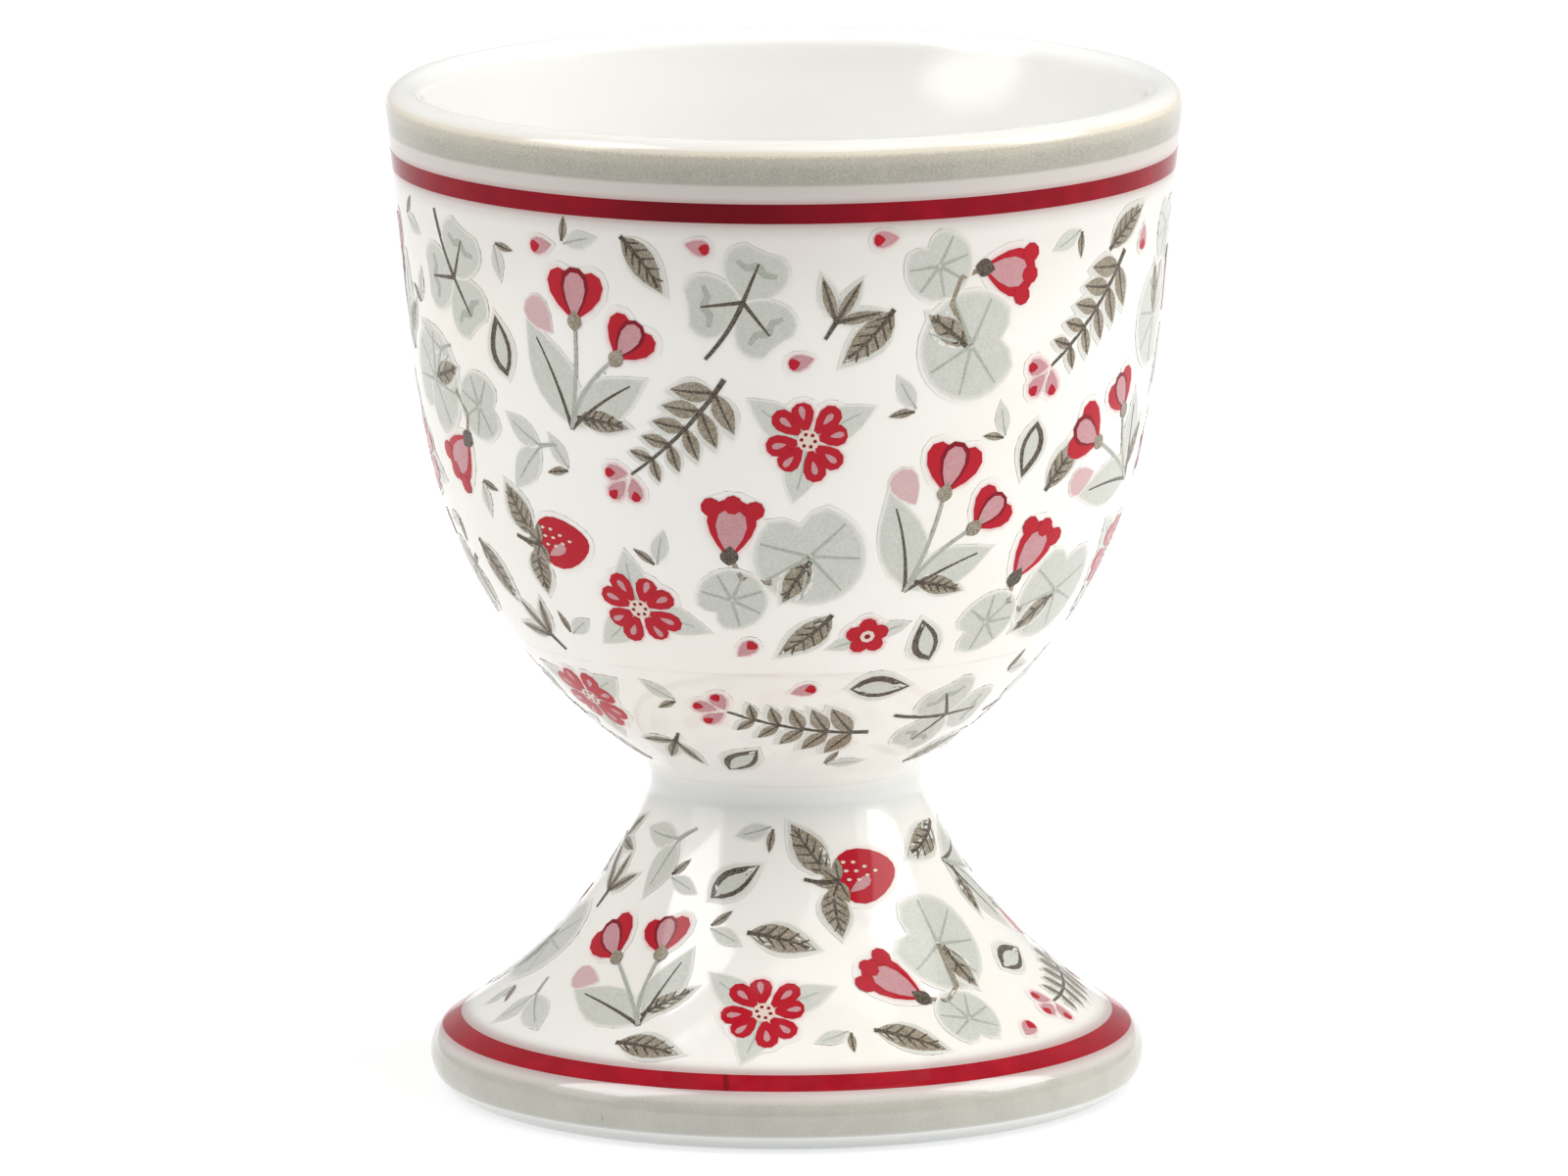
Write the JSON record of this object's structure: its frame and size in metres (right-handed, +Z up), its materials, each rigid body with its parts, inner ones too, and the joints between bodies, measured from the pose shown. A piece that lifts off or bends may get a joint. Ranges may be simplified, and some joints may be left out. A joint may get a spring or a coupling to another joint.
{
  "type": "egg cup",
  "caption": "Footed porcelain egg cup: round bowl with a full-round lip on a hollow flared foot, white glaze with printed colour bands, lines and a small floral print.",
  "frame": {"origin": "centre of the foot on the surface that the cup stands on", "axes": "+Z up the axis of the cup, towards its rim; the cup is round, so X and Y are any two level directions, with -Y towards the picture's viewer"},
  "size_m": [0.0508, 0.0508, 0.065],
  "materials": {
    "biscuit": "bare fired white porcelain, matt and slightly rough",
    "slip": "fired joining slip, matt white",
    "white_glaze": "clear glaze over white porcelain, glossy",
    "grey_band": "fine-grained beige-grey colour sunk in the glaze, glossy",
    "red_line": "solid dark red colour sunk in the glaze, glossy",
    "floral_print": "white glaze with a small scattered floral print in red, pink, sage and taupe, glossy"
  },
  "bodies": {
    "root": {"foot": "biscuit", "bowl": "biscuit", "luting_slip": "slip", "body_glaze": "white_glaze", "foot_well_glaze": "white_glaze", "rim_band": "grey_band", "rim_line": "red_line", "bowl_print": "floral_print", "bowl_base_print": "floral_print", "foot_print": "floral_print", "foot_line": "red_line", "foot_band": "grey_band"}
  },
  "joints": []
}
